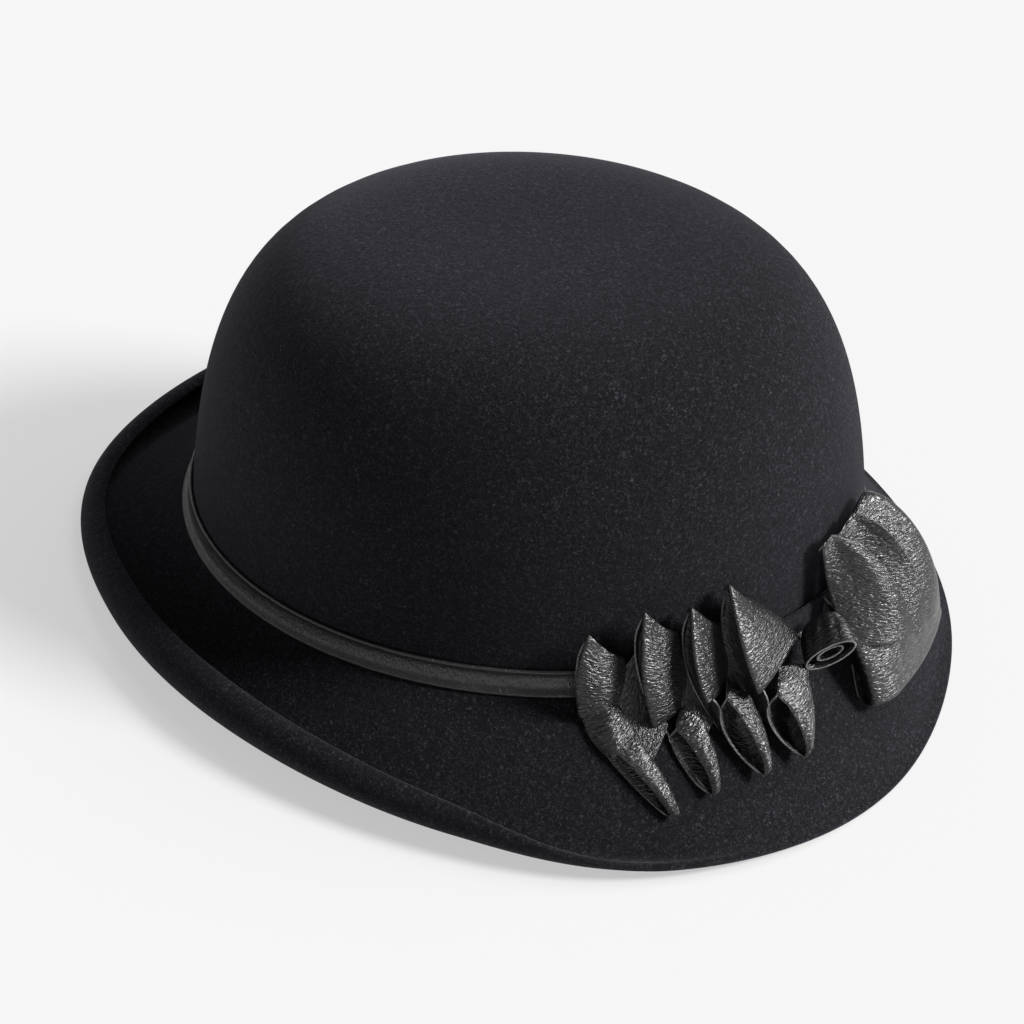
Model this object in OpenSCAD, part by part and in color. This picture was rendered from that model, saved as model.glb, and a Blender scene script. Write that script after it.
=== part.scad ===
// Bowler hat in stiff wool felt, with a narrow leather band and a pleated leather bow.
// +Y is the back of the hat, -Y the front, -X the wearer's right. The hat stands on its brim at Z = 0.
// Inside the modules the hat is upright: Z = 0 is where the crown meets the brim.

/* [Felt] */
// Half the crown's width at its base, outside
crown_half_w = 88; // [82:0.5:94]
// Half the crown's length at its base, outside
crown_half_l = 102; // [96:0.5:108]
// Height of the crown above the brim
crown_h = 97; // [88:1:106]
// How long the crown's wall stays upright
wall_power = 2.4; // [2.2:0.1:2.8]
// How square the crown's top is
top_power = 4.5; // [3.5:0.1:5]
// How far the wall draws in halfway up, as a share of its radius
wall_waist = 0.045; // [0:0.005:0.06]
// Thickness of the felt
felt_t = 2.5; // [2:0.1:3]
// Radius of the bend from crown to brim, at the middle of the felt
root_r = 4; // [3.5:0.1:5]

/* [Band and bow] */
// Height of the band's top edge
band_top = 8.4; // [7:0.1:10]
// Thickness of the folded band
band_t = 1.1; // [0.8:0.1:1.3]
// Place of the knot, in degrees from the back over the wearer's right side
knot_az = 149.5; // [140:0.5:160]
// Angle from one pleat to the next
pleat_pitch = 9; // [8:0.5:10]
// Pleats on each side of the knot
pleats = 4; // [3:1:4]

/* [Inside] */
// Height of the sweatband
sweatband_h = 30; // [25:1:35]
// Thickness of the sweatband
sweatband_t = 0.8; // [0.6:0.1:1]
// Thickness of the lining
lining_t = 0.5; // [0.4:0.1:0.6]

/* [Hidden] */

// The brim at seven stations, every 30 degrees from the back round to the front
brim_slope = [28, 36, 38, 40, 43, 52.5, 58];       // degrees below level
brim_cut = [51, 51.5, 54, 57.5, 57, 58, 55.5];   // felt from the crown to the cut edge
curl_turn = [215, 215, 210, 190, 60, 20, 28];    // degrees that the edge curls up
curl_r = [4.5, 6, 6.3, 5, 4.5, 12, 14];          // radius of the curl

// How the hat stands: tipped back until front and back both touch
rest_pitch = 6.38;
rest_h = 30.79;
rest_y = 0.23;

root_z = 3;             // height at which the bend to the brim starts
clear = 0.12;           // gap between pieces that lie on each other
cols = 72;              // columns round the hat
az_step = 360 / cols;
crown_split = 0.8;      // height share where the wall hands over to the top
thread_r = 0.35;
felt_black = [0.07, 0.07, 0.08];
leather_black = [0.1, 0.1, 0.11];
satin_black = [0.14, 0.14, 0.16];
thread_black = [0.16, 0.16, 0.17];

module stood() translate([0, rest_y, rest_h]) rotate([-rest_pitch, 0, 0]) children();

// ---- places on the hat ----

// Value of a station list at an angle from the back, on a smooth curve through the stations
function at(list, i) = list[i < 0 ? -i : i > 6 ? 12 - i : i];
function between(list, az) =
    let (turn = az > 180 ? 360 - az : az, x = turn / 30, i = min(floor(x), 5), t = x - i,
         a = at(list, i - 1), b = at(list, i), c = at(list, i + 1), d = at(list, i + 2))
    b + 0.5 * t * (c - a + t * (2 * a - 5 * b + 4 * c - d + t * (3 * (b - c) + d - a)));

// Outward normal of the crown's base oval, seen from above
function normal_at(az) = let (n = [-sin(az) / crown_half_w, cos(az) / crown_half_l]) n / norm(n);

// Point at distance w outside the base oval, at height z
function out_pt(az, w, z) =
    let (n = normal_at(az)) [-crown_half_w * sin(az) + w * n.x, crown_half_l * cos(az) + w * n.y, z];

// Width of the crown at share t of its height, and the height share for a width
function width_at(t) = pow(1 - pow(t, wall_power), 1 / top_power);
function share_at(s) = pow(1 - pow(s, top_power), 1 / wall_power);

// Point of a surface lying inset mm inside the crown's outer face
function crown_pt(az, inset, s, t) =
    let (k = s * (1 - wall_waist * t * (1 - t)))
    [-(crown_half_w - inset) * k * sin(az), (crown_half_l - inset) * k * cos(az), t * (crown_h - inset)];
function wall_pt(az, inset, z) = let (t = max(z, 0) / (crown_h - inset), p = crown_pt(az, inset, width_at(t), t))
    [p.x, p.y, z];
function ring(f) = [for (i = [0 : cols - 1]) f(i * az_step)];

// Rings of the crown from the top down to height z
function crown_rings(inset, z, top_n, wall_n) =
    let (s_split = width_at(crown_split), t_end = z / (crown_h - inset))
    concat([for (j = [1 : top_n]) let (s = s_split * j / top_n) ring(function (az) crown_pt(az, inset, s, share_at(s)))],
           [for (j = [1 : wall_n]) let (t = crown_split + (t_end - crown_split) * j / wall_n)
               ring(function (az) crown_pt(az, inset, width_at(t), t))]);

// One face of the brim, off mm above the middle of the felt: bend, straight run, curl
function brim_pt(az, off, part, share) =
    let (slope = between(brim_slope, az), r = between(curl_r, az), turn = max(between(curl_turn, az), 14),
         bend = 90 - slope,
         run = between(brim_cut, az) - (root_r * bend + r * turn) * PI / 180,
         root = [root_r * (1 - cos(bend)), -root_r * sin(bend)],
         run_end = root + run * [cos(slope), -sin(slope)],
         dir = part == 0 ? -90 + bend * share : part == 1 ? -slope : -slope + turn * share,
         p = part == 0 ? [root_r * (1 - cos(bend * share)), -root_r * sin(bend * share)] :
             part == 1 ? root + (run_end - root) * share :
             run_end + r * [sin(slope) + sin(dir), cos(slope) - cos(dir)],
         q = p + off * [-sin(dir), cos(dir)])
    out_pt(az, q.x - felt_t / 2, q.y + root_z);
function brim_rings(off) = concat(
    [for (j = [1 : 3]) ring(function (az) brim_pt(az, off, 0, j / 3))],
    [for (j = [1 : 3]) ring(function (az) brim_pt(az, off, 1, j / 3))],
    [for (j = [1 : 11]) ring(function (az) brim_pt(az, off, 2, j / 11))]);

// Height of the brim's upper face at w mm out from the crown, on its straight run
function brim_top(az, w) =
    let (slope = between(brim_slope, az), edge = root_r - felt_t / 2)
    root_z - edge * cos(slope) - (w - edge * (1 - sin(slope))) * tan(slope);

// ---- skins ----

function backwards(list) = [for (i = [len(list) - 1 : -1 : 0]) list[i]];
function mean(list) = [for (k = [0 : 2]) [for (p = list) p[k]] * [for (p = list) 1] / len(list)];

// Solid through a row of rings; the ends meet when loop is true, or else close on their middles
module skin(rings, loop = false) {
    n = len(rings[0]);
    m = len(rings);
    sides = [for (i = [0 : m - (loop ? 1 : 2)], j = [0 : n - 1])
        let (a = i * n + j, b = i * n + (j + 1) % n, c = ((i + 1) % m) * n + (j + 1) % n, d = ((i + 1) % m) * n + j)
        each [[a, b, c], [a, c, d]]];
    caps = loop ? [] : [for (j = [0 : n - 1]) each
        [[m * n, (j + 1) % n, j], [m * n + 1, (m - 1) * n + j, (m - 1) * n + (j + 1) % n]]];
    middles = loop ? [] : [mean(rings[0]), mean(rings[m - 1])];
    polyhedron(points = concat([for (r = rings) each r], middles), faces = concat(sides, caps), convexity = 8);
}

// Solid between two sheets of points, given as equal rows
module slab(front, back) {
    n = len(front[0]);
    m = len(front);
    far = n * m;
    function cell(i, j) = let (a = i * n + j) [a, a + 1, a + n + 1, a + n];
    quads = [for (i = [0 : m - 2], j = [0 : n - 2]) cell(i, j)];
    rims = concat([for (j = [0 : n - 2]) let (q = cell(0, j)) [q[1], q[0]]],
        [for (j = [0 : n - 2]) let (q = cell(m - 2, j)) [q[3], q[2]]],
        [for (i = [0 : m - 2]) let (q = cell(i, 0)) [q[0], q[3]]],
        [for (i = [0 : m - 2]) let (q = cell(i, n - 2)) [q[2], q[1]]]);
    faces = concat([for (q = quads) each [[q[0], q[1], q[2]], [q[0], q[2], q[3]]]],
        [for (q = quads) each [[far + q[0], far + q[2], far + q[1]], [far + q[0], far + q[3], far + q[2]]]],
        [for (r = rims) each [[r[0], r[1], far + r[1]], [r[0], far + r[1], far + r[0]]]]);
    polyhedron(points = concat([for (r = front) each r], [for (r = back) each r]), faces = faces, convexity = 8);
}

// Patch that lies along the crown's wall, from azimuth az0 to az1 and height z0 to z1;
// outer and inner are how far its faces lie inside the crown's outer face
module wall_patch(az0, az1, z0, z1, outer, inner, steps = 12) {
    skin([for (i = [0 : steps]) let (az = az0 + (az1 - az0) * i / steps)
        [wall_pt(az, outer, z0), wall_pt(az, outer, z1), wall_pt(az, inner, z1), wall_pt(az, inner, z0)]]);
}

// Stitch of the given length lying along the wall
module stitch(az, inset, z, length, tilt = 0) {
    n = normal_at(az);
    translate(wall_pt(az, inset, z)) rotate([0, 0, atan2(n.y, n.x)]) rotate([90 + tilt, 0, 0])
        cylinder(r = thread_r, h = length, center = true, $fn = 16);
}

// ---- felt, band ----

module felt_body() {
    color(felt_black) stood() skin(concat(
        crown_rings(0, root_z, 8, 8),
        brim_rings(felt_t / 2),
        [ring(function (az) (brim_pt(az, felt_t / 2, 2, 1) + brim_pt(az, -felt_t / 2, 2, 1)) / 2
            + 0.7 * (brim_pt(az, 0, 2, 1) - brim_pt(az, 0, 2, 0.98)) / norm(brim_pt(az, 0, 2, 1) - brim_pt(az, 0, 2, 0.98)))],
        backwards(brim_rings(-felt_t / 2)),
        backwards(crown_rings(felt_t, root_z, 7, 7))));
}

// Points across the band at distance d off the felt, from its top edge down into the corner and out
function band_side(az, d) =
    let (slope = between(brim_slope, az), r = root_r - felt_t / 2 - d, w = root_r - felt_t / 2,
         bend = 90 - slope, reach = 1.6)
    concat([for (z = [band_top, root_z]) wall_pt(az, -d, z)],
        [for (a = [bend / 2, bend]) out_pt(az, w - r * cos(a), root_z - r * sin(a))],
        [out_pt(az, w - r * cos(bend) + reach * cos(slope), root_z - r * sin(bend) - reach * sin(slope))]);
module hatband() {
    color(leather_black) stood()
        skin([for (i = [0 : cols - 1]) let (az = i * az_step)
            concat(band_side(az, clear), backwards(band_side(az, clear + band_t)))], true);
}
module hatband_tacks() {
    color(thread_black) stood() for (az = [200 : 40 : 360])
        stitch(az, -(clear + band_t + 0.1 + thread_r), 4.5, 2.2, 90);
}

// ---- bow ----

// A pleat k places from the knot: azimuth of its pinch, and its lean at the upper and the lower tip
function pinch_az(k) = 13.7 + pleat_pitch * k;
function lean_up(k) = 4 - 1.3 * k;
function lean_down(k) = 4.5 + 1.5 * k;
function tip_z(k) = 32 - 2 * k;
function tip_w(k) = 26.5 + 1.5 * k;

function crest_w(k, side) = side < 0 ? 16 - 2.7 * k : 22 - 2 * k;  // how far the crest stands out
crest_z = -2;
foot_gap = 3.6;        // room for the band, the backing and the strip itself under the pleats
strip_t = 1;

// Point of pleat k at v, from -1 at the lower tip to 1 at the upper tip. d is its angle from the crest and
// share how far it stands out, from 0 in the valley to 1 on the crest; side is -1 left, 1 right of the knot
function pleat_pt(k, side, v, d, share, under = 0) =
    let (up = max(v, 0), down = max(-v, 0), full = share * (pow(1 - v * v * v * v, 0.5) + 0.06),
         mid = knot_az + side * (pinch_az(k) + lean_up(k) * up - lean_down(k) * down),
         middle = crest_w(k, side),
         crest = middle + (5 - middle) * up + (tip_w(k) - middle) * down,
         foot = brim_top(mid, tip_w(k)) + 5,
         z = crest_z + (tip_z(k) - crest_z) * up + (foot - crest_z) * down,
         base_w = foot_gap + (tip_w(k) - 4.6) * down,
         base_z = down > 0 ? max(brim_top(mid, base_w) + 1.6, z - 6) : max(z - 2, 2))
    out_pt(mid + side * d, base_w - under + (crest - base_w) * full, share > 0 ? z : base_z);

// Row of a pleated strip: each pleat's near valley, shoulder and crest, then the last valley
function pleat_row(side, v, shares, under = 0) = concat(
    [for (k = [0 : pleats - 1]) each [pleat_pt(k, side, v, -5.6, 0, under),
        pleat_pt(k, side, v, -3, shares[0], under), pleat_pt(k, side, v, 0, shares[1], under)]],
    [pleat_pt(pleats - 1, side, v, 3.2, 0, under)]);
module bow_pleats(side) {
    rows = [for (v = [-1 : 0.2 : 1.01]) -side * v];
    color(leather_black) stood()
        slab([for (v = rows) pleat_row(side, v, [0.75, 1])], [for (v = rows) pleat_row(side, v, [0, 0], strip_t)]);
}
module bow_pleats_left() bow_pleats(-1);
module bow_pleats_right() bow_pleats(1);

module bow_backing() {
    color(felt_black) stood()
        wall_patch(knot_az - 40, knot_az + 40, 2.8, 11, -(clear + band_t + 1.2), -(clear + band_t + 0.2), 20);
}

// The knot: a rounded loop of strip over the middle of the bow
knot_turn = 6.3;       // half its width, in degrees round the hat
knot_out = [10, 6.2];  // middle and half size outwards
knot_up = [7, 9.3];    // middle and half size upwards
function knot_ring(u) = let (full = pow(1 - pow(abs(u), 4), 0.5) + 0.25)
    [for (a = [0 : 24 : 336]) out_pt(knot_az + knot_turn * u, knot_out[0] + knot_out[1] * full / 1.25 * cos(a),
        knot_up[0] + knot_up[1] * full / 1.25 * sin(a))];
module bow_knot() color(leather_black) stood() skin([for (u = [-1 : 0.2 : 1.01]) knot_ring(u)]);

module bow_stitches() {
    color(thread_black) stood() for (side = [-1, 1], k = [0 : pleats - 1])
        stitch(knot_az + side * (pinch_az(k) - 8.5), -(clear + band_t + 1.3 + thread_r), 6.5, 3, 90);
}

// ---- inside ----

sweat_in = felt_t + 1.2;
sweat_face = sweat_in + sweatband_t;
sweat_low = -1;
sweat_high = sweat_low + sweatband_h;
lining_in = felt_t + 0.4;
seam_share = 0.74;     // height share of the seam between the lining's side and tip

module sweatband() {
    color(satin_black) stood() skin([for (i = [0 : cols - 1]) let (az = i * az_step) concat(
        [for (z = [sweat_low, sweat_low + sweatband_h / 2, sweat_high]) wall_pt(az, sweat_in, z)],
        [for (z = [sweat_high, sweat_low + sweatband_h / 2, sweat_low]) wall_pt(az, sweat_face, z)])], true);
}
module sweatband_stitches() {
    color(thread_black) stood() for (az = [4 : 8 : 356])
        stitch(az, sweat_face + clear + thread_r, 1, 6);
}
module sweatband_bow() {
    color(satin_black) stood() {
        for (side = [-1, 1])
            wall_patch(side < 0 ? -8.5 : 1, side < 0 ? -1 : 8.5, 8, 15, sweat_face + clear, sweat_face + 1.8, 5);
        wall_patch(-0.9, 0.9, 8.6, 14.4, sweat_face + clear, sweat_face + 2.4, 3);
    }
}
function lining_rings(inset, t0, t1, n) = [for (j = [0 : n]) let (t = t0 + (t1 - t0) * j / n)
    ring(function (az) crown_pt(az, inset, width_at(t), t))];
module lining_side() {
    color(satin_black) stood() skin(concat(
        lining_rings(lining_in, seam_share - 0.01, 0.14, 6),
        backwards(lining_rings(lining_in + lining_t, seam_share - 0.01, 0.14, 6))), true);
}
module lining_tip() {
    rows = 7;
    s_seam = width_at(seam_share);
    color(satin_black) stood() skin(concat(
        [for (j = [1 : rows]) let (s = s_seam * j / rows)
            ring(function (az) crown_pt(az, lining_in, s, share_at(s)))],
        [for (j = [rows : -1 : 1]) let (s = s_seam * j / rows)
            ring(function (az) crown_pt(az, lining_in + lining_t, s, share_at(s)))]));
}
module lining_seam() {
    z = seam_share * (crown_h - lining_in) - 0.8;
    color(thread_black) stood() for (az = [5 : 10 : 355])
        stitch(az, lining_in + lining_t + clear + thread_r, z, 6);
}
module size_label() {
    color("dimgray") stood() wall_patch(14, 24, 12, 21, sweat_face + clear, sweat_face + clear + 0.4, 4);
}
module care_label() {
    color("gainsboro") stood()
        wall_patch(262, 276, 6, 24, sweat_face + clear, sweat_face + clear + 0.4, 4);
}
module label_stitches() {
    color(thread_black) stood() {
        for (az = [15, 23], z = [13.5, 19.5])
            stitch(az, sweat_face + clear + 0.5 + thread_r, z, 1.8, 90);
        for (az = [264, 269, 274])
            stitch(az, sweat_face + clear + 0.5 + thread_r, 22.5, 2.4);
    }
}

felt_body();
hatband();
hatband_tacks();
bow_backing();
bow_pleats_left();
bow_pleats_right();
bow_knot();
bow_stitches();
sweatband();
sweatband_stitches();
sweatband_bow();
lining_side();
lining_tip();
lining_seam();
size_label();
care_label();
label_stitches();
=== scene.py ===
"""Bowler hat in black wool felt with a narrow leather band and a pleated leather bow.

Shapes are worked out in the hat's own upright frame, in millimetres: az is the angle from the back over the
wearer's right side, w the distance out from the crown's wall and z the height above the brim's root. stand()
then tips the hat back onto its brim and gives metres in the shared frame.
"""
import math

import bmesh
import bpy
import numpy as np
from mathutils import Matrix, Vector


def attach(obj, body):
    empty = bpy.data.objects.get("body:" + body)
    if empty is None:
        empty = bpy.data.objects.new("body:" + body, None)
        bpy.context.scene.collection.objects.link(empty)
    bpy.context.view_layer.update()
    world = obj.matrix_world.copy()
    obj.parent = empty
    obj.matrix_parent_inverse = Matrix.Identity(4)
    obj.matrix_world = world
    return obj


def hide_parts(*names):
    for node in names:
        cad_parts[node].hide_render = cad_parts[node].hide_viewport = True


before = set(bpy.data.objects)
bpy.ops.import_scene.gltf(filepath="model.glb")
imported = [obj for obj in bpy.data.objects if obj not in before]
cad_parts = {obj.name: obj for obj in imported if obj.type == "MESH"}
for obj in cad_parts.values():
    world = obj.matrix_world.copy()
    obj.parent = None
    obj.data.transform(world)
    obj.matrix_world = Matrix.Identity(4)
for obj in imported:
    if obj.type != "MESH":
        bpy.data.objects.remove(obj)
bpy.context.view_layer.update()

# ---- driving sizes, as in the CAD source ----

CROWN_HALF_W, CROWN_HALF_L, CROWN_H = 88.0, 102.0, 97.0
WALL_POWER, TOP_POWER, WALL_WAIST = 2.4, 4.5, 0.045
FELT_T, ROOT_R, ROOT_Z = 2.5, 4.0, 3.0
BAND_TOP, BAND_T, CLEAR = 8.4, 1.1, 0.12
KNOT_AZ = 149.5
SWEATBAND_H, SWEATBAND_T, LINING_T = 30.0, 0.8, 0.5
REST_PITCH, REST_H, REST_Y = math.radians(6.38), 30.79, 0.23

# the brim every 30 degrees from the back to the front
BRIM_SLOPE = (28, 36, 38, 40, 43, 52.5, 58)
BRIM_CUT = (51, 51.5, 54, 57.5, 57, 58, 55.5)
CURL_TURN = (215, 215, 210, 190, 60, 20, 28)
CURL_R = (4.5, 6, 6.3, 5, 4.5, 12, 14)

COLS = 288              # columns round the hat


# ---- places on the hat ----

def between(stations, az):
    """Value of a station list at an angle from the back, on a smooth curve through the stations."""
    turn = np.asarray(az, float) % 360
    turn = np.where(turn > 180, 360 - turn, turn) / 30
    i = np.minimum(np.floor(turn), 5).astype(int)
    t = turn - i
    line = np.array([stations[1], *stations, stations[5]], float)
    a, b, c, d = (line[i + k] for k in range(4))
    return b + 0.5 * t * (c - a + t * (2 * a - 5 * b + 4 * c - d + t * (3 * (b - c) + d - a)))


def normal_at(az):
    """Outward normal of the crown's base oval, seen from above."""
    a = np.radians(az)
    n = np.stack([-np.sin(a) / CROWN_HALF_W, np.cos(a) / CROWN_HALF_L], -1)
    return n / np.linalg.norm(n, axis=-1, keepdims=True)


def width_at(t):
    return (1 - np.clip(t, 0, 1) ** WALL_POWER) ** (1 / TOP_POWER)


def share_at(s):
    return (1 - np.clip(s, 0, 1) ** TOP_POWER) ** (1 / WALL_POWER)


def crown_pt(az, inset, s, t):
    """Point of the surface inset mm inside the crown's outer face, at width share s and height share t."""
    az, s, t = np.broadcast_arrays(az, s, t)
    a = np.radians(az)
    k = s * (1 - WALL_WAIST * t * (1 - t))
    return np.stack([-(CROWN_HALF_W - inset) * k * np.sin(a), (CROWN_HALF_L - inset) * k * np.cos(a),
                     t * (CROWN_H - inset)], -1)


def wall_pt(az, inset, z):
    """Point of the wall inset mm inside the crown's outer face, at height z."""
    az, z = np.broadcast_arrays(np.asarray(az, float), np.asarray(z, float))
    t = np.maximum(z, 0) / (CROWN_H - inset)
    p = crown_pt(az, inset, width_at(t), t)
    p[..., 2] = z
    return p


def hat_pt(az, w, z):
    """Point w mm straight out from the crown's wall at height z."""
    az, w, z = np.broadcast_arrays(np.asarray(az, float), np.asarray(w, float), np.asarray(z, float))
    p = wall_pt(az, 0, z)
    p[..., :2] += w[..., None] * normal_at(az)
    return p


def out_pt(az, w, z):
    """Point w mm out from the crown's base oval, at height z."""
    az, w, z = np.broadcast_arrays(np.asarray(az, float), np.asarray(w, float), np.asarray(z, float))
    a = np.radians(az)
    n = normal_at(az)
    x = -CROWN_HALF_W * np.sin(a) + w * n[..., 0]
    y = CROWN_HALF_L * np.cos(a) + w * n[..., 1]
    return np.stack([x, y, z], -1)


def brim_top(az, w):
    """Height of the brim's upper face w mm out from the crown, on its straight run."""
    slope = np.radians(between(BRIM_SLOPE, az))
    edge = ROOT_R - FELT_T / 2
    return ROOT_Z - edge * np.cos(slope) - (w - edge * (1 - np.sin(slope))) * np.tan(slope)


def stand(points):
    """From the upright hat in mm to the shared frame in metres."""
    p = np.asarray(points, float)
    c, s = math.cos(REST_PITCH), math.sin(REST_PITCH)
    y, z = p[..., 1] * c + p[..., 2] * s + REST_Y, -p[..., 1] * s + p[..., 2] * c + REST_H
    return np.stack([p[..., 0], y, z], -1) / 1000


# ---- meshes ----

def through(controls, n):
    """n points on a smooth curve through control points of any number of columns."""
    c = np.asarray(controls, float)
    x = np.linspace(0, len(c) - 1, n)
    i = np.minimum(np.floor(x), len(c) - 2).astype(int)
    t = (x - i)[:, None]
    line = np.vstack([2 * c[0] - c[1], c, 2 * c[-1] - c[-2]])
    a, b, d, e = (line[i + k] for k in range(4))
    return b + 0.5 * t * (d - a + t * (2 * a - 5 * b + 4 * d - e + t * (3 * (b - d) + e - a)))


def grain_of(grid):
    """Distances along and across a grid of points, in metres, as the way its material's pattern runs."""
    along = np.zeros(grid.shape[:2])
    across = np.zeros(grid.shape[:2])
    along[1:] = np.cumsum(np.linalg.norm(np.diff(grid, axis=0), axis=-1), 0)
    across[:, 1:] = np.cumsum(np.linalg.norm(np.diff(grid, axis=1), axis=-1), 1)
    along = np.repeat(along.mean(1, keepdims=True), grid.shape[1], 1)
    return np.stack([along, across, np.zeros_like(along)], -1) / 1000


class Shell:
    """Gathers grids of points in mm and makes one object of them."""

    def __init__(self):
        self.points, self.grain, self.faces, self.count = [], [], [], 0

    def add(self, grid, loop_rows=False, loop_cols=False, caps=(False, False), seed=0.0):
        """A grid of points; loops close it on itself, caps close its first and last row."""
        grid = np.asarray(grid, float)
        m, n = grid.shape[:2]
        at = self.count
        rows = m if loop_rows else m - 1
        cols = n if loop_cols else n - 1
        for i in range(rows):
            for j in range(cols):
                i2, j2 = (i + 1) % m, (j + 1) % n
                self.faces.append((at + i * n + j, at + i2 * n + j, at + i2 * n + j2, at + i * n + j2))
        self.points.append(grid.reshape(-1, 3))
        self.grain.append((grain_of(grid) + (seed, 0, seed)).reshape(-1, 3))
        self.count += m * n
        for row, wanted, flip in ((0, caps[0], False), (m - 1, caps[1], True)):
            if wanted:
                self.points.append(grid[row].mean(0)[None])
                self.grain.append(np.array([[seed, 0.0, seed]]))
                for j in range(cols):
                    a, b = at + row * n + j, at + row * n + (j + 1) % n
                    self.faces.append((self.count, b, a) if flip else (self.count, a, b))
                self.count += 1
        return self

    def make(self, name, *materials, upright=True):
        mesh = bpy.data.meshes.new(name)
        points = np.vstack(self.points)
        mesh.from_pydata(stand(points) if upright else points / 1000, [], self.faces)
        mesh.attributes.new("grain", "FLOAT_VECTOR", "POINT").data.foreach_set(
            "vector", np.vstack(self.grain).astype(np.float32).ravel())
        mesh.polygons.foreach_set("use_smooth", [True] * len(mesh.polygons))
        for m in materials:
            mesh.materials.append(m)
        mesh.update()
        obj = bpy.data.objects.new(name, mesh)
        bpy.context.collection.objects.link(obj)
        return obj


def outward(obj):
    """Turns a closed object's faces outwards."""
    bm = bmesh.new()
    bm.from_mesh(obj.data)
    bmesh.ops.recalc_face_normals(bm, faces=bm.faces)
    bm.to_mesh(obj.data)
    bm.free()
    return obj


def thicken(obj, thickness, smooth=1, rim=1):
    """Gives a sheet its thickness, with the cut edge in material slot rim."""
    solid = obj.modifiers.new("thickness", "SOLIDIFY")
    solid.thickness = thickness
    solid.offset = 0
    solid.use_even_offset = False
    solid.material_offset_rim = rim
    if smooth:
        sub = obj.modifiers.new("smooth", "SUBSURF")
        sub.levels = sub.render_levels = smooth
    return obj


def placed(obj, slot, *nodes):
    """The piece rides on the hat's body and stands for these CAD nodes."""
    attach(obj, "root")
    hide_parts(*nodes)
    return obj


# ---- materials ----

def new_material(name):
    """(nodes, links, principled shader, material output) of a new node material."""
    material = bpy.data.materials.new(name)
    material.use_nodes = True
    nodes, links = material.node_tree.nodes, material.node_tree.links
    return material, nodes, links, nodes["Principled BSDF"]


def grain_coords(nodes, links, scale, source="grain"):
    """Pattern coordinates: the grain attribute, or the object's own space for source None."""
    if source:
        base = nodes.new("ShaderNodeAttribute")
        base.attribute_name = source
        out = base.outputs["Vector"]
    else:
        out = nodes.new("ShaderNodeTexCoord").outputs["Object"]
    mapping = nodes.new("ShaderNodeMapping")
    mapping.inputs["Scale"].default_value = scale
    links.new(out, mapping.inputs["Vector"])
    return mapping.outputs["Vector"]


def noise(nodes, links, coords, scale, detail=3, rough=0.6, distortion=0.0):
    tex = nodes.new("ShaderNodeTexNoise")
    values = {"Scale": scale, "Detail": detail, "Roughness": rough, "Distortion": distortion}
    for key, value in values.items():
        tex.inputs[key].default_value = value
    links.new(coords, tex.inputs["Vector"])
    return tex.outputs["Fac"]


def wave(nodes, links, coords, scale, distortion, detail=2, detail_scale=1.5, direction="X"):
    tex = nodes.new("ShaderNodeTexWave")
    tex.bands_direction = direction
    for key, value in (("Scale", scale), ("Distortion", distortion), ("Detail", detail),
                       ("Detail Scale", detail_scale)):
        tex.inputs[key].default_value = value
    links.new(coords, tex.inputs["Vector"])
    return tex.outputs["Fac"]


def ramp(nodes, links, value, stops):
    """Colour ramp; stops are (place, colour)."""
    node = nodes.new("ShaderNodeValToRGB")
    node.color_ramp.elements[0].position, node.color_ramp.elements[-1].position = stops[0][0], stops[-1][0]
    for place, _ in stops[1:-1]:
        node.color_ramp.elements.new(place)
    for element, (_, colour) in zip(node.color_ramp.elements, stops):
        element.color = (*colour, 1)
    links.new(value, node.inputs["Fac"])
    return node.outputs["Color"]


def spread(nodes, links, value, low, high):
    """Maps a 0 to 1 value onto low to high."""
    node = nodes.new("ShaderNodeMapRange")
    node.inputs["To Min"].default_value, node.inputs["To Max"].default_value = low, high
    links.new(value, node.inputs["Value"])
    return node.outputs["Result"]


def add_bump(nodes, links, shader, layers):
    """Stacks bumps; layers are (height output, strength, depth in metres)."""
    last = None
    for height, strength, depth in layers:
        bump = nodes.new("ShaderNodeBump")
        bump.inputs["Strength"].default_value, bump.inputs["Distance"].default_value = strength, depth
        links.new(height, bump.inputs["Height"])
        if last:
            links.new(last, bump.inputs["Normal"])
        last = bump.outputs["Normal"]
    links.new(last, shader.inputs["Normal"])


def set_shader(shader, **values):
    for key, value in values.items():
        shader.inputs[key.replace("_", " ")].default_value = value


def felt_material():
    """Hard wool felt: near black, with matted fibres that catch light at a low angle."""
    material, nodes, links, shader = new_material("wool_felt")
    coords = grain_coords(nodes, links, (1, 1, 1), None)
    fibre = noise(nodes, links, coords, 1100, 4, 0.75, 1.2)
    clump = noise(nodes, links, coords, 420, 3, 0.6, 0.6)
    cloud = noise(nodes, links, coords, 28, 2, 0.5)
    speck = ramp(nodes, links, fibre, [(0.35, (0.001, 0.001, 0.0014)), (0.54, (0.005, 0.005, 0.0065)),
                                       (0.73, (0.055, 0.055, 0.066))])
    shade = nodes.new("ShaderNodeMix")
    shade.data_type, shade.blend_type = "RGBA", "MULTIPLY"
    shade.inputs["Factor"].default_value = 0.5
    links.new(speck, shade.inputs[6])
    links.new(ramp(nodes, links, cloud, [(0.3, (0.6, 0.6, 0.62)), (0.7, (1, 1, 1))]), shade.inputs[7])
    links.new(shade.outputs[2], shader.inputs["Base Color"])
    links.new(spread(nodes, links, clump, 0.8, 1.0), shader.inputs["Roughness"])
    set_shader(shader, Specular_IOR_Level=0.12, Sheen_Weight=0.085, Sheen_Roughness=0.5,
               Sheen_Tint=(0.75, 0.75, 0.9, 1))
    add_bump(nodes, links, shader, [(clump, 0.5, 0.0005), (fibre, 0.75, 0.0004)])
    return material


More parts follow.
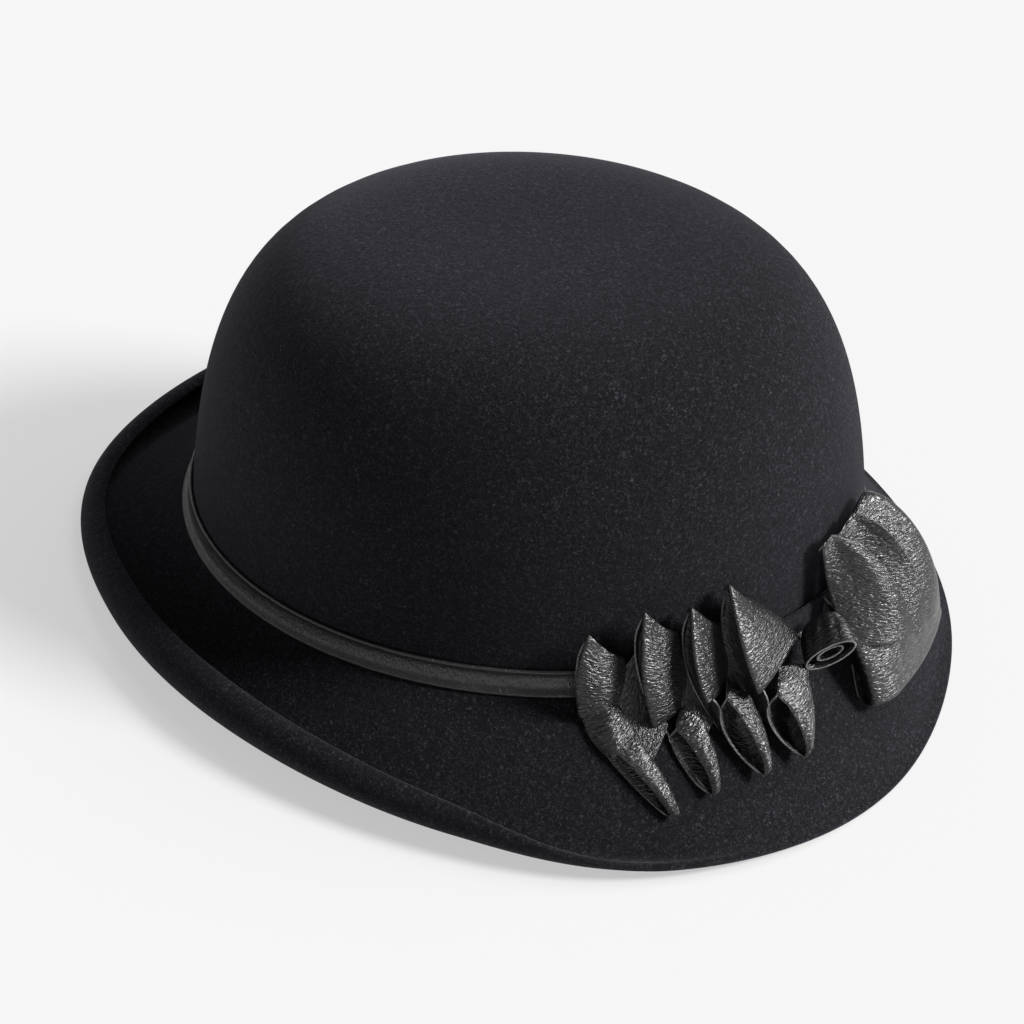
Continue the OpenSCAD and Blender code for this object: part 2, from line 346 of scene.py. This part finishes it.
def leather_material(name, colour, rough=(0.3, 0.5), wrinkle=0.00035, tilt=0.27):
    """Black faux leather with fine wrinkles across the strip and a pebble grain."""
    material, nodes, links, shader = new_material(name)
    coords = grain_coords(nodes, links, (1, tilt, 1))
    wrinkles = noise(nodes, links, coords, 1500, 2, 0.45, 0.8)
    pebbles = nodes.new("ShaderNodeTexVoronoi")
    pebbles.inputs["Scale"].default_value = 1500
    links.new(grain_coords(nodes, links, (1, 0.6, 1)), pebbles.inputs["Vector"])
    soft = noise(nodes, links, coords, 90, 2, 0.5)
    # The wrinkles' sunken creases get the darker colour and their ridges the full one: painted shade in the
    # creases.
    dark = tuple(c * 0.6 for c in colour)
    links.new(ramp(nodes, links, wrinkles, [(0.3, dark), (0.75, colour)]), shader.inputs["Base Color"])
    links.new(spread(nodes, links, soft, *rough), shader.inputs["Roughness"])
    set_shader(shader, Specular_IOR_Level=0.85)
    add_bump(nodes, links, shader, [(soft, 0.4, 0.001), (wrinkles, 1.0, wrinkle),
                                    (pebbles.outputs["Distance"], 0.35, 0.00012)])
    return material


def edge_material():
    """Raw cut edge of the faux leather, where the pale backing shows, made lighter still as a painted
    highlight along the edges.
    """
    material, nodes, links, shader = new_material("cut_edge")
    fray = noise(nodes, links, grain_coords(nodes, links, (1, 1, 1), None), 1600, 3, 0.7)
    # The pale end of this ramp is the backing's own colour raised further into a painted highlight on the
    # edges.
    links.new(ramp(nodes, links, fray, [(0.35, (0.08, 0.08, 0.08)), (0.7, (0.36, 0.36, 0.36))]),
              shader.inputs["Base Color"])
    links.new(spread(nodes, links, fray, 0.6, 0.9), shader.inputs["Roughness"])
    add_bump(nodes, links, shader, [(fray, 0.6, 0.0002)])
    return material


def cloth_material(name, colour, rough, across, along, depth, sheen=0.0):
    """Woven cloth; across and along are its ribs and threads per metre."""
    material, nodes, links, shader = new_material(name)
    coords = grain_coords(nodes, links, (1, 1, 1))
    ribs = wave(nodes, links, coords, across / 20, 0.4, direction="X")
    threads = wave(nodes, links, coords, along / 20, 0.6, direction="Y")
    cloud = noise(nodes, links, coords, 40, 3)
    dark = tuple(c * 0.55 for c in colour)
    links.new(ramp(nodes, links, cloud, [(0.3, dark), (0.7, colour)]), shader.inputs["Base Color"])
    links.new(spread(nodes, links, threads, rough - 0.08, rough + 0.08), shader.inputs["Roughness"])
    set_shader(shader, Sheen_Weight=sheen)
    add_bump(nodes, links, shader, [(ribs, 0.7, depth), (threads, 0.4, depth * 0.5)])
    return material


# ---- felt ----

def full_turn():
    return np.arange(COLS) * 360 / COLS


def crown_rows(inset, top_n, wall_n):
    """Rings of the crown from near the top's middle down to the bend."""
    az = full_turn()
    split = 0.8
    s_split = width_at(split)
    top = [crown_pt(az, inset, s, share_at(s)) for s in s_split * np.arange(1, top_n + 1) / top_n]
    t_end = ROOT_Z / (CROWN_H - inset)
    wall = [crown_pt(az, inset, width_at(t), t) for t in np.linspace(split, t_end, wall_n + 1)[1:]]
    return top + wall


def brim_row(off, part, share):
    """Ring of the brim, off mm above the felt's middle: part 0 the bend, 1 the straight run, 2 the curl."""
    az = full_turn()
    slope = np.radians(between(BRIM_SLOPE, az))
    turn = np.radians(np.maximum(between(CURL_TURN, az), 14))
    r, bend = between(CURL_R, az), np.pi / 2 - slope
    run = between(BRIM_CUT, az) - ROOT_R * bend - r * turn
    root = np.stack([ROOT_R * (1 - np.cos(bend)), -ROOT_R * np.sin(bend)], -1)
    run_end = root + run[:, None] * np.stack([np.cos(slope), -np.sin(slope)], -1)
    if part == 0:
        way = -np.pi / 2 + bend * share
        p = np.stack([ROOT_R * (1 - np.cos(bend * share)), -ROOT_R * np.sin(bend * share)], -1)
    elif part == 1:
        way = -slope
        p = root + (run_end - root) * share
    else:
        way = -slope + turn * share
        p = run_end + r[:, None] * np.stack([np.sin(slope) + np.sin(way), np.cos(slope) - np.cos(way)], -1)
    q = p + off * np.stack([-np.sin(way), np.cos(way)], -1)
    return out_pt(az, q[:, 0] - FELT_T / 2, q[:, 1] + ROOT_Z)


def brim_rows(off, bend_n=6, run_n=12, curl_n=30):
    counts = ((0, bend_n), (1, run_n), (2, curl_n))
    return [brim_row(off, part, j / n) for part, n in counts for j in range(1, n + 1)]


def edge_rows(steps=5):
    """Rounded cut edge between the brim's two faces."""
    upper, lower = brim_row(FELT_T / 2, 2, 1), brim_row(-FELT_T / 2, 2, 1)
    middle, side = (upper + lower) / 2, (upper - lower) / 2
    ahead = brim_row(0, 2, 1) - brim_row(0, 2, 0.98)
    ahead *= FELT_T / 2 * 0.8 / np.linalg.norm(ahead, axis=-1, keepdims=True)
    angles = np.pi * np.arange(1, steps) / steps
    return [middle + side * math.cos(a) + ahead * math.sin(a) for a in angles]


def felt_hat(felt):
    rows = (crown_rows(0, 26, 26) + brim_rows(FELT_T / 2) + edge_rows()
            + brim_rows(-FELT_T / 2)[::-1] + crown_rows(FELT_T, 16, 16)[::-1])
    hat = Shell().add(rows, loop_cols=True, caps=(True, True)).make("felt_hat", felt)
    return placed(outward(hat), "wool_felt", "felt_body")


# ---- band ----

def band_rows():
    """Closed section of the folded strip at each column: a bead on top, then down into the corner."""
    az = full_turn()
    slope = np.radians(between(BRIM_SLOPE, az))
    bend, edge = np.pi / 2 - slope, ROOT_R - FELT_T / 2
    bead = 0.62

    def corner(off, share, reach=0.0):
        r, a = edge - off, bend * share
        w = edge - r * np.cos(a) + reach * np.cos(slope)
        z = ROOT_Z - r * np.sin(a) - reach * np.sin(slope)
        return out_pt(az, w, z)

    outer_off = CLEAR + BAND_T
    top = [wall_pt(az, -(CLEAR + bead + bead * math.cos(a)), BAND_TOP - bead + bead * math.sin(a))
           for a in np.radians((180, 135, 90, 45, 0, -40))]
    body = [wall_pt(az, -off, z) for z, off in ((6.4, 0.86), (5.2, 0.9), (4, 1.05), (ROOT_Z, outer_off))]
    foot = [corner(outer_off, s) for s in (0.5, 1)] + [corner(outer_off - 0.1, 1, 1.4), corner(0.6, 1, 1.65)]
    inner = [corner(CLEAR, 1, 1.5), corner(CLEAR, 1), corner(CLEAR, 0.5), wall_pt(az, -CLEAR, ROOT_Z),
             wall_pt(az, -CLEAR, 5)]
    return np.stack(top + body + foot + inner, 1)


def hatband(leather):
    band = Shell().add(band_rows(), loop_rows=True, loop_cols=True).make("hatband_strip", leather)
    sub = outward(band).modifiers.new("smooth", "SUBSURF")
    sub.levels = sub.render_levels = 1
    return placed(band, "faux_leather", "hatband")


# ---- bow ----

LEATHER_T = 0.0008      # metres

# Left pleats from the knot outwards, by the places (az, w, z) that drive them: the crest's tip, the
# pinch where it ends, the bottom of the fold on its right, the top of the pocket's mouth, its far
# shoulder and its foot; sweep says how late the back edge turns towards the foot
LEFT = (
    dict(tip=(132, 5, 32), pinch=(134, 16, 2), fold=(144, 8, 8), mouth=(137, 16, -1),
         shoulder=(144, 12, 1), foot=(139, 26, -20), sweep=2.5),
    dict(tip=(125, 5, 28), pinch=(126, 13, 1), fold=(131, 6, -1), mouth=(129, 13, 1),
         shoulder=(133, 12, -1), foot=(132, 27, -20), sweep=2.5),
    dict(tip=(117, 5, 29), pinch=(118, 11, -6), fold=(122, 8, -6), mouth=(121, 13, -6),
         shoulder=(125, 12, -5), foot=(124, 28, -21), sweep=2.5),
    dict(tip=(108, 5, 23), pinch=(107, 8, -3), fold=(111, 7, -2), mouth=(111, 15, -8),
         shoulder=(115, 14, -8), foot=(118, 31, -24), sweep=5),
)
BACK_LAP = 2            # degrees that a pleat's back layer lies left of its tip
BACK_W = 4              # its distance from the wall at the top

# Right half, petal by petal from the knot outwards: azimuth of each fold's gathered top and of its
# foot, height of its top, how full it hangs (under 1 stands out as a crest, over 1 is held in), and
# the share of its length that shows
RIGHT = (
    ((153, 154, 31, 2.6, 0.60), (155, 158, 32, 1.3, 0.63), (156, 162, 32, 0.7, 0.66),
     (158, 165, 30, 0.5, 0.68)),
    ((157, 163, 30, 1.6, 0.66), (161, 167, 32, 0.8, 0.72), (163, 170, 33, 0.5, 0.76)),
    ((163, 168, 31, 1.6, 0.74), (167, 172, 33, 0.8, 0.80), (170, 177, 33, 0.6, 0.86),
     (173, 180, 30, 1.6, 0.90)),
)
RIGHT_TOP_W = 5         # from the wall at the gathered top
RIGHT_OUT = 25          # and at the foot
RIGHT_FOOT = -20        # height of the foot
LOBE_FROM = 0.45        # share of the folds' length where the lower lobe starts

# The knot's roll: places (degrees past KNOT_AZ, w, z) of its hidden end and its open mouth, the slant
# of its wide side (along the wall, out, up), and half its width and depth
KNOT_START = (1, 7, 8)
KNOT_MOUTH = (-3, 18, 5.5)
KNOT_SLANT = (1.2, 0.8, 1.0)
KNOT_WIDE = 8
KNOT_DEEP = 3.8


def arch(start, end, swell, n=7, power=1.0):
    """Line from one place to another that swells by the given amounts in its middle."""
    t = np.linspace(0, 1, n)[:, None]
    bend = np.clip(np.sin(np.pi * t), 0, 1) ** power
    line = np.array(start) + t * np.subtract(end, start) + bend * np.array(swell)
    return [tuple(place) for place in line]


def hung(tip, foot, sweep, n=9):
    """Line from a pleat's tip down the wall and out over the brim to its foot."""
    t = np.linspace(0, 1, n)
    left = tip[0] - BACK_LAP
    az = left + (foot[0] - left) * t ** sweep + BACK_LAP * (1 - t) ** 10
    w = BACK_W + (foot[1] - BACK_W) * t ** 4
    z = tip[2] + (foot[2] - tip[2]) * t
    return list(zip(az, w, z))


def folds(tip, pinch, fold, mouth, shoulder, foot, sweep):
    """The lines of one left pleat, worked out from its driving places."""
    return dict(
        back=hung(tip, foot, sweep),
        crest=arch(tip, pinch, (-1.2, (pinch[1] - tip[1]) / 3, 0)),
        valley=arch(np.add(tip, (3.3, 0, -6)), fold, (0.7, 0, 0)),
        lip=arch(mouth, foot, (-2.2, -4, 0), power=0.7),
        rim=arch(mouth, foot, (0.9, 2, 0), power=0.7),
        side=arch(shoulder, np.add(foot, (1, 0, 1.5)), (0.7, -0.5, 0)),
        neck=tuple(0.6 * np.array(mouth) + 0.4 * np.array(shoulder) + (0, -5, 2)))


def draped(top, foot, height, fullness, start, end, inset=0.0, n=10):
    """Part of one line of the right half, from the share start of its length to the share end."""
    t = start + (end - start) * np.linspace(0, 1, n) ** 1.4
    az = top + (foot - top) * t ** (0.5 * max(1, fullness))
    w = RIGHT_TOP_W + (RIGHT_OUT - RIGHT_TOP_W) * np.sin(np.pi / 2 * t ** fullness)
    held = inset * np.linspace(1, 0, n)
    return list(zip(az, w - held, height + (RIGHT_FOOT - height) * t))


def moved(line, az, w, z):
    return [(a + az, b + w, c + z) for a, b, c in line]


def halfway(one, other, swell, drop=0.0, n=9):
    """Line between two lines, swelling outwards and hanging lower away from its ends."""
    middle = (through(one, n) + through(other, n)) / 2
    fade = np.sin(np.linspace(0, np.pi, n))[:, None] ** 0.5
    return [tuple(p) for p in middle + fade * (0, swell, -drop)]


def tucked(line, top=(0, -2, -2.5), foot=(0, -3.5, -2)):
    """The line with a turned-in place added at each end."""
    return [tuple(np.add(line[0], top))] + list(line) + [tuple(np.add(line[-1], foot))]


def clear_of_brim(places, gap=1.3):
    """Lifts places that would dip into the brim."""
    low = np.where(places[..., 1] > 3, brim_top(places[..., 0], places[..., 1]) + gap, 2.5)
    places[..., 2] = np.maximum(places[..., 2], low)
    return places


def loft(lines, rows=42, cols=26):
    """Grid through lines of places (az, w, z) that run from the top down, from left to right."""
    runs = np.stack([through(line, rows) for line in lines])
    places = clear_of_brim(np.stack([through(runs[:, i], cols) for i in range(rows)]))
    return hat_pt(places[..., 0], places[..., 1], places[..., 2])


def pleat(shell, k, back, crest, valley, lip, rim, side, neck):
    """One left pleat: its shaded side layer, its lit face, and the pocket under the pinch."""
    inner = crest[:1] + moved(crest[1:], 0.9, -2.2, 0) + lip[1:]
    shell.add(loft([back, halfway(back, inner, -2.6), inner], cols=12), seed=0.13 * k)
    deep = moved(valley, 2.6, -2.4, -4)
    face = [moved(crest, -0.2, -1.2, -0.3), crest, halfway(crest, valley, 0.9), valley, deep]
    shell.add(loft([tucked(line, foot=(0.8, -4, -1)) for line in face], cols=24), seed=0.13 * k + 0.05)
    pocket = [rim, halfway(rim, side, 1.8), side, halfway(side, lip, -1.5, 5), lip]
    shell.add(loft([[neck, *line] for line in pocket], cols=28), seed=0.13 * k + 0.09)


def web(shell, k, lines, next_lines):
    """Floor of the valley between a pocket and the pleat on its right."""
    near = moved([lines["valley"][-2], *lines["side"][:4]], -1.5, -3, -1)
    far = moved(next_lines["back"][2:7], 0.9, -1.2, 0)
    shell.add(loft([near, halfway(near, far, -1), far], rows=24, cols=12), seed=0.13 * k + 0.07)


def end_panel(shell, pinch, mouth, shoulder):
    """Where the last pleat's face turns into the strip's end."""
    outer = arch(np.add(pinch, (0, -2, 2)), np.add(mouth, (0, 2, -5)), (-1, 0, -1))
    middle = arch(np.add(pinch, (3, -2, 3)), np.add(mouth, (1, 2, -2)), (0, 2, 0))
    inner = arch(np.add(pinch, (6, -4, 5)), np.add(shoulder, (0, -2, 0)), (0, -1, 0))
    shell.add(loft([outer, middle, inner], rows=20, cols=16), seed=0.47)


def bow_left(leather, edge):
    shell = Shell()
    pleats = [folds(**places) for places in LEFT]
    for k, lines in enumerate(pleats):
        pleat(shell, k, **lines)
    for k in range(1, len(pleats)):
        web(shell, k, pleats[k], pleats[k - 1])
    last = LEFT[-1]
    end_panel(shell, last["pinch"], last["mouth"], last["shoulder"])
    bow = thicken(shell.make("bow_strip_left", leather, edge), LEATHER_T)
    return placed(bow, "faux_leather", "bow_pleats_left")


def bow_right(leather, edge):
    """The right half: three petals that open away from the knot, over the strip's lower lobe."""
    shell = Shell()
    for n, petal in enumerate(RIGHT):
        lines = [draped(*fold, 0.0, shown) for *fold, shown in petal]
        lines = [tucked(line, (0.2, -2, -3), (0, -1, 0)) for line in lines]
        shell.add(loft(lines, rows=56, cols=48), seed=0.6 + 0.1 * n)
    lobe = [draped(*fold, LOBE_FROM, 1.0, inset=4.0) for petal in RIGHT for *fold, shown in petal[1:]]
    lobe.insert(0, moved(lobe[0], -3, -3, 0))
    lobe.insert(0, moved(lobe[0], 2, -6, -1))
    shell.add(loft([tucked(line, (0, -2, 2), (0, -5, -3)) for line in lobe], rows=36, cols=80), seed=0.95)
    bow = thicken(shell.make("bow_strip_right", leather, edge), LEATHER_T)
    return placed(bow, "faux_leather", "bow_pleats_right")


def unit(vector):
    return vector / np.linalg.norm(vector)


def knot_layer(scale, start, end, rows, cols=61):
    """One turn of the knot's flattened roll, from its hidden end to its open mouth."""
    near = hat_pt(KNOT_AZ + KNOT_START[0], *KNOT_START[1:])
    mouth = hat_pt(KNOT_AZ + KNOT_MOUTH[0], *KNOT_MOUTH[1:])
    out = np.array([*normal_at(KNOT_AZ), 0.0])
    along = unit(hat_pt(KNOT_AZ + 1, 10, 5) - hat_pt(KNOT_AZ - 1, 10, 5))
    axis = unit(mouth - near)
    wide = KNOT_SLANT[0] * along + KNOT_SLANT[1] * out + KNOT_SLANT[2] * np.array([0, 0, 1])
    wide = unit(wide - axis * (wide @ axis))
    deep = np.cross(wide, axis)
    s = np.linspace(start, end, rows)[:, None, None]
    around = np.linspace(0, 2 * np.pi, cols)[None, :, None]
    closing = 1 - 0.55 * (1 - s) ** 4
    reach = KNOT_WIDE * (0.85 + 0.15 * s) * (1 - 0.3 * (1 - s) ** 6) * scale
    swell = KNOT_DEEP * closing * scale + 0.22 * np.sin(11 * around + 3 * s) * np.sin(np.pi * s)
    return near + s * (mouth - near) + reach * np.cos(around) * wide + swell * np.sin(around) * deep


def bow_knot(leather, edge):
    """Strip rolled flat round the middle of the bow, with its folded end in the open mouth."""
    shell = Shell()
    shell.add(knot_layer(1.0, 0.0, 1.0, 34), seed=1.1)
    shell.add(knot_layer(0.52, 0.45, 0.94, 16), seed=1.2)
    knot = thicken(shell.make("bow_knot_wrap", leather, edge), LEATHER_T)
    return placed(knot, "faux_leather", "bow_knot")


# ---- sewn pieces and the inside ----

SWEAT_IN = FELT_T + 1.2
SWEAT_FACE = SWEAT_IN + SWEATBAND_T
LINING_IN = FELT_T + 0.4
SEAM_SHARE = 0.74
PLEAT_STITCHES = (5.2, 14.2, 23.2, 32.2)


def cloth_ring(name, grid, material, thickness, slot_name, node):
    """Sewn-in cloth that runs right round."""
    cloth = Shell().add(grid, loop_cols=True).make(name, material, material)
    placed(thicken(cloth, thickness / 1000, 0), slot_name, node)
    return cloth


def sweatband(grosgrain):
    """Ribbed ribbon round the opening, slightly rippled between its stitches."""
    az = full_turn()
    heights = np.array([-1, -0.6, 0.4, 3, 7, 12, 17, 22, 26, 28.4, 29])
    rows = []
    for z in heights:
        ripple = 0.1 * np.sin(np.radians(az) * 23) * min(max(z, 0), 8) / 8
        rows.append(wall_pt(az, SWEAT_IN + SWEATBAND_T / 2 + ripple, z))
    return cloth_ring("sweatband_ribbon", np.array(rows), grosgrain, SWEATBAND_T, "grosgrain",
                      "sweatband")


def lining_side(satin):
    """Side of the lining, gathered into the seam."""
    az = full_turn()
    rows = []
    for t in np.linspace(SEAM_SHARE - 0.01, 0.14, 14):
        gather = 0.3 * np.cos(np.radians(az) * 40) * (t / SEAM_SHARE) ** 2
        rows.append(crown_pt(az, LINING_IN + 0.55 + gather, width_at(t), t))
    return cloth_ring("lining_side_cloth", np.array(rows), satin, LINING_T * 0.8, "lining_satin",
                      "lining_side")


def lining_tip(satin):
    """Oval tip of the lining."""
    az = full_turn()
    s_seam = width_at(SEAM_SHARE)
    rows = [crown_pt(az, LINING_IN + LINING_T / 2, s, share_at(s)) for s in s_seam * np.arange(1, 15) / 14]
    tip = Shell().add(rows, loop_cols=True, caps=(True, False)).make("lining_tip_cloth", satin, satin)
    placed(thicken(tip, LINING_T / 1000, 0), "lining_satin", "lining_tip")
    return tip


def sewn(name, places, length, upright, thread, node, outside=False):
    """Short rounded stitches; places are (az, distance inside the crown's face, z)."""
    shell = Shell()
    turns = np.radians(np.arange(0, 360, 45))[None, :, None]
    shares = np.linspace(-1, 1, 7)
    for az, inset, z in places:
        n = np.array([*normal_at(az), 0.0]) * (1 if outside else -1)
        way = np.array([0.0, 0, 1]) if upright else np.cross(n, (0, 0, 1))
        side = np.cross(way, n)
        middle = wall_pt(az, inset, z) + shares[:, None] * way * length / 2
        middle = middle - (shares[:, None] ** 2) * n * 0.25
        thick = 0.32 * np.sqrt(1 - 0.75 * shares ** 2)[:, None, None]
        grid = middle[:, None] + thick * (np.cos(turns) * n + np.sin(turns) * side)
        shell.add(grid, loop_cols=True, caps=(True, True))
    return placed(outward(shell.make(name, thread)), "thread", node)


def wall_grid(az0, az1, z0, z1, inset, rows=10, cols=24, swell=0.0):
    """Grid lying along the wall, from the bottom up, swelling off it in its middle."""
    u, v = np.meshgrid(np.linspace(0, 1, cols), np.linspace(0, 1, rows))
    off = swell * np.sin(np.pi * u) * np.sin(np.pi * v)
    return wall_pt(az0 + (az1 - az0) * u, inset + off, z0 + (z1 - z0) * v)


def patch(name, grid, material, thickness, slot_name, node):
    piece = Shell().add(grid).make(name, material, material)
    return placed(thicken(piece, thickness / 1000, 1), slot_name, node)


def sweatband_bow(ribbon):
    """Small flat bow of ribbon at the back of the sweatband."""
    shell = Shell()
    turn = np.linspace(0, np.pi, 19)[:, None]
    across = np.linspace(-1, 1, 7)[None]
    for side in (-1, 1):
        az = side * (1 + 7.3 * np.sin(turn) ** 0.8) + 0 * across
        inset = SWEAT_FACE + 0.95 - 0.55 * np.cos(turn) + 0 * across
        shell.add(wall_pt(az, inset, 11.5 + across * (1.7 + 1.7 * np.sin(turn))), seed=0.1 * side)
    loop = np.linspace(0, 2 * np.pi, 25)[:-1, None]
    shell.add(wall_pt(0.9 * across + 0 * loop, SWEAT_FACE + 1.3 - 0.95 * np.cos(loop) + 0 * across,
                      11.5 + 2.8 * np.sin(loop) + 0 * across), loop_rows=True)
    bow = thicken(shell.make("sweatband_ribbon_bow", ribbon, ribbon), 0.00025)
    return placed(bow, "grosgrain", "sweatband_bow")


def inside(grosgrain, satin, thread, label):
    sweatband(grosgrain)
    sweatband_bow(grosgrain)
    lining_side(satin)
    lining_tip(satin)
    face = SWEAT_FACE + CLEAR
    sewn("sweatband_thread", [(az, face + 0.35, 1) for az in range(4, 357, 8)], 6, False, thread,
         "sweatband_stitches")
    seam_z = SEAM_SHARE * (CROWN_H - LINING_IN) - 0.8
    seam = [(az, LINING_IN + LINING_T + 0.5, seam_z) for az in range(5, 356, 10)]
    sewn("lining_seam_thread", seam, 6, False, thread, "lining_seam")
    size = wall_grid(14, 24, 12, 21, face + 0.25, swell=0.25)
    patch("size_tag", size, label, 0.35, "label_cloth", "size_label")
    care = wall_grid(262, 276, 6, 24, face + 0.25, swell=0.3)
    tag = patch("care_tag", care, label, 0.35, "label_cloth", "care_label")
    corners = [(az, face + 0.7, z) for az in (15, 23) for z in (13.5, 19.5)]
    sewn("tag_thread", corners + [(az, face + 0.7, 22.5) for az in (264, 269, 274)], 1.9, True, thread,
         "label_stitches")


def band_sewing(felt, thread):
    """Felt strip that the bow is sewn to, its stitches, and the tacks that hold the band."""
    off = CLEAR + BAND_T
    base = wall_grid(KNOT_AZ - 39, KNOT_AZ + 25, 2.8, 11, -(off + 0.7), cols=60)
    patch("bow_base", base, felt, 0.9, "wool_felt", "bow_backing")
    spots = [KNOT_AZ + side * place for side in (-1, 1) for place in PLEAT_STITCHES]
    sewn("bow_thread", [(az, -(off + 1.5), 6.5) for az in spots], 3, True, thread, "bow_stitches", True)
    tacks = [(az, -(off + 0.4), 4.5) for az in range(200, 361, 40)]
    sewn("band_tacks", tacks, 2.2, True, thread, "hatband_tacks", True)


# ---- camera, light and floor ----

def camera():
    """The viewpoint: above the wearer's right side, a long way off through a long lens."""
    height, swing, distance = math.radians(36.73), math.radians(-81), 1300.6
    roll, shift_x, shift_y, aim_z = math.radians(1.71), -6.15, -49.18, 60
    back = Vector((math.sin(swing) * math.cos(height), -math.cos(swing) * math.cos(height), math.sin(height)))
    right = (-back).cross(Vector((0, 0, 1))).normalized()
    up = right.cross(-back)
    x_axis = math.cos(roll) * right + math.sin(roll) * up
    y_axis = -math.sin(roll) * right + math.cos(roll) * up
    place = Vector((0, 0, aim_z)) + shift_x * x_axis + shift_y * y_axis + distance * back
    tip = Matrix.Rotation(-REST_PITCH, 3, "X")
    axes = [tip @ v for v in (x_axis, y_axis, back)]
    data = bpy.data.cameras.new("camera")
    data.sensor_width, data.lens = 36, 155.1
    data.clip_start, data.clip_end = 0.05, 30
    cam = bpy.data.objects.new("camera", data)
    bpy.context.collection.objects.link(cam)
    cam.matrix_world = Matrix.Translation(Vector(stand(place)[:])) @ Matrix(axes).transposed().to_4x4()
    bpy.context.scene.camera = cam


def soft_sun(name, towards, strength, spread_deg):
    """Broad light from the direction towards, the same all over the floor."""
    data = bpy.data.lights.new(name, "SUN")
    data.energy, data.angle = strength, math.radians(spread_deg)
    light = bpy.data.objects.new(name, data)
    bpy.context.collection.objects.link(light)
    light.rotation_mode = "QUATERNION"
    light.rotation_quaternion = Vector(towards).to_track_quat("Z", "Y")


def studio():
    world = bpy.data.worlds.new("studio")
    world.use_nodes = True
    world.node_tree.nodes["Background"].inputs["Color"].default_value = (0.97, 0.98, 1, 1)
    world.node_tree.nodes["Background"].inputs["Strength"].default_value = 0.2
    bpy.context.scene.world = world
    bpy.context.scene.view_settings.view_transform = "Standard"
    soft_sun("front_light", (0.05, -1, 0.85), 5.4, 18)
    soft_sun("back_light", (0.5, -0.5, 1.2), 1.3, 45)
    bpy.ops.mesh.primitive_plane_add(size=12)
    floor = bpy.context.object
    floor.name = "floor"
    material, nodes, links, shader = new_material("floor")
    set_shader(shader, Base_Color=(0.25, 0.25, 0.25, 1), Roughness=0.9, Specular_IOR_Level=0.0,
               Emission_Color=(1, 1, 1, 1), Emission_Strength=0.51)
    floor.data.materials.append(material)


camera()
studio()
felt_look = felt_material()
felt_hat(felt_look)
band_leather = leather_material("band_leather", (0.014, 0.014, 0.015), (0.3, 0.42), 0.0003, 0.5)
bow_leather = leather_material("bow_leather", (0.008, 0.008, 0.0084), (0.28, 0.4), 0.0008, 0.27)
cut_edge = edge_material()
thread_look = cloth_material("thread", (0.02, 0.02, 0.022), 0.55, 4000, 1500, 0.00008)
hatband(band_leather)
bow_left(bow_leather, cut_edge)
bow_right(bow_leather, cut_edge)
# The knot gets the bow's leather made darker: painted shade for the knot's place in shadow.
bow_knot(leather_material("knot_leather_painted_shade", (0.006, 0.006, 0.0064), (0.33, 0.45), 0.0009, 0.27), cut_edge)
band_sewing(felt_look, thread_look)
inside(cloth_material("grosgrain", (0.02, 0.02, 0.022), 0.6, 900, 4000, 0.0002, 0.1),
       cloth_material("lining_satin", (0.022, 0.022, 0.025), 0.32, 2000, 3000, 0.00004), thread_look,
       cloth_material("label_cloth", (0.3, 0.3, 0.31), 0.7, 3000, 3000, 0.00006))
